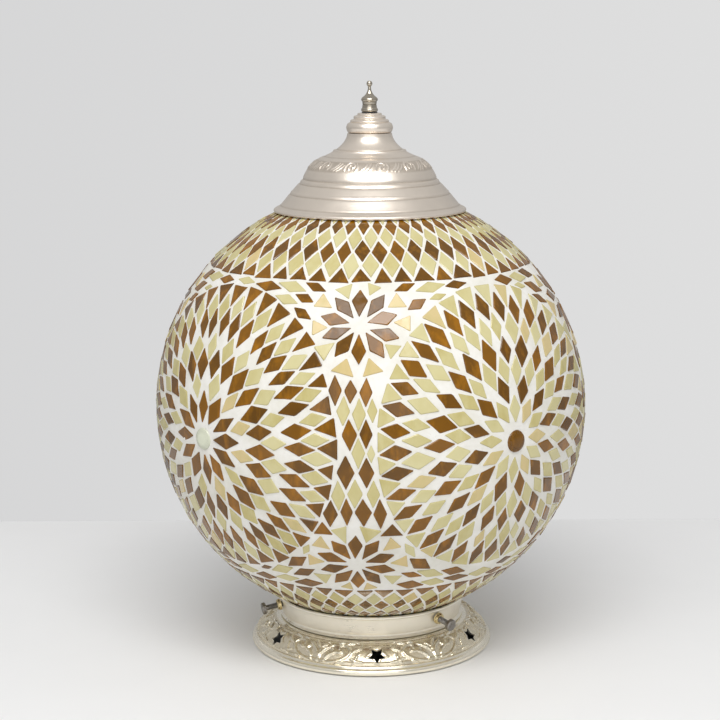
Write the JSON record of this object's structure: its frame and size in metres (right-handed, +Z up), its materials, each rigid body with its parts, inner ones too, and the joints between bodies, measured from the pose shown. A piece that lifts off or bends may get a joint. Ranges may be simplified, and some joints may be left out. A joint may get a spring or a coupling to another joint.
{
  "type": "mosaic glass table lamp",
  "caption": "Table lamp: a mosaic-coated glass globe clamped in a pierced metal foot by thumb screws, with an embossed bell cap and a finial over its top opening.",
  "frame": {"origin": "centre of the foot's resting face, under the middle of the lamp", "axes": "+Z up along the lamp's axis; the side with the column between two medallions faces -Y; +X to the right seen from the front"},
  "size_m": [0.3, 0.3, 0.3955],
  "materials": {
    "champagne_metal": "satin, spun and embossed",
    "cap_metal": "satin, spun and embossed",
    "polished_metal": "polished",
    "dark_steel": "dark, knurled",
    "steel": "zinc plated",
    "brass": "turned",
    "clear_glass": "clear, glossy",
    "mosaic": "glossy set glass pieces in warm white grout",
    "mosaic_medallion": "glossy set glass pieces in warm white grout",
    "rubber": "matt",
    "felt": "felted",
    "ceramic": "glazed",
    "holder_plastic": "moulded",
    "opal": "opal satin"
  },
  "bodies": {
    "base": {"foot_skirt": "champagne_metal", "gallery_cup": "champagne_metal", "screw_boss_1": "brass", "screw_boss_2": "brass", "screw_boss_3": "brass", "felt_disc": "felt", "bottom_plate": "steel", "cord_grommet": "rubber", "nipple": "brass", "washer_lower": "steel", "nut_lower": "brass", "washer_upper": "steel", "nut_upper": "brass", "holder_cap": "holder_plastic", "holder_body": "holder_plastic", "holder_insulator": "ceramic", "holder_thread_shell": "brass", "holder_ring": "holder_plastic", "terminal_screw_1": "brass", "terminal_screw_2": "brass", "centre_contact": "brass"},
    "globe": {"glass_globe": "clear_glass", "mosaic_top_band": "mosaic", "mosaic_bottom_band": "mosaic", "mosaic_field": "mosaic", "mosaic_medallion_1": "mosaic_medallion", "mosaic_medallion_2": "mosaic_medallion", "mosaic_medallion_3": "mosaic_medallion", "mosaic_medallion_4": "mosaic_medallion", "crossbar": "steel", "crossbar_pad_1": "rubber", "crossbar_pad_2": "rubber", "cap_rod": "steel", "rod_nut_lower": "steel", "rod_nut_upper": "steel"},
    "bulb": {"bulb_contact": "steel", "bulb_insulator": "rubber", "bulb_screw_cap": "steel", "bulb_housing": "holder_plastic", "bulb_led_board": "steel", "bulb_diffuser": "opal"},
    "cap": {"top_cap": "cap_metal", "cap_crown": "cap_metal"},
    "washer": {"finial_washer": "rubber"},
    "finial": {"finial": "polished_metal"},
    "tip_1": {"screw_tip_1": "rubber"},
    "screw_1": {"thumb_screw_1": "dark_steel"},
    "tip_2": {"screw_tip_2": "rubber"},
    "screw_2": {"thumb_screw_2": "dark_steel"},
    "tip_3": {"screw_tip_3": "rubber"},
    "screw_3": {"thumb_screw_3": "dark_steel"}
  },
  "joints": [
    {"name": "screw_1_advance", "type": "slide", "parent": "base", "child": "tip_1", "axis": [0.6819, -0.7061, -0.1908], "range_m": [0, 0.005]},
    {"name": "screw_1_turn", "type": "hinge", "parent": "tip_1", "child": "screw_1", "pos_m": [0.04536, -0.04697, 0.0296], "axis": [0.6819, -0.7061, -0.1908], "range_deg": [0, 2572]},
    {"name": "screw_2_advance", "type": "slide", "parent": "base", "child": "tip_2", "axis": [0.2706, 0.9436, -0.1908], "range_m": [0, 0.005]},
    {"name": "screw_2_turn", "type": "hinge", "parent": "tip_2", "child": "screw_2", "pos_m": [0.018, 0.06277, 0.0296], "axis": [0.2706, 0.9436, -0.1908], "range_deg": [0, 2572]},
    {"name": "screw_3_advance", "type": "slide", "parent": "base", "child": "tip_3", "axis": [-0.9525, -0.2375, -0.1908], "range_m": [0, 0.005]},
    {"name": "screw_3_turn", "type": "hinge", "parent": "tip_3", "child": "screw_3", "pos_m": [-0.06336, -0.0158, 0.0296], "axis": [-0.9525, -0.2375, -0.1908], "range_deg": [0, 2572]},
    {"name": "globe_lift", "type": "slide", "parent": "base", "child": "globe", "axis": [0, 0, 1], "range_m": [0, 0.16]},
    {"name": "bulb_unscrew", "type": "slide", "parent": "base", "child": "bulb", "axis": [0, 0, 1], "range_m": [0, 0.026]},
    {"name": "cap_lift", "type": "slide", "parent": "globe", "child": "cap", "axis": [0, 0, 1], "range_m": [0, 0.08]},
    {"name": "finial_rise", "type": "slide", "parent": "cap", "child": "washer", "axis": [0, 0, 1], "range_m": [0, 0.006]},
    {"name": "finial_turn", "type": "hinge", "parent": "washer", "child": "finial", "pos_m": [0, 0, 0.375], "axis": [0, 0, 1], "range_deg": [0, 3080]}
  ],
  "couplings": [
    {"joint": "screw_1_turn", "follows": "screw_1_advance", "rad_per_m": 8976},
    {"joint": "screw_2_turn", "follows": "screw_2_advance", "rad_per_m": 8976},
    {"joint": "screw_3_turn", "follows": "screw_3_advance", "rad_per_m": 8976},
    {"joint": "finial_rise", "follows": "finial_turn", "m_per_rad": 0.00011141}
  ]
}
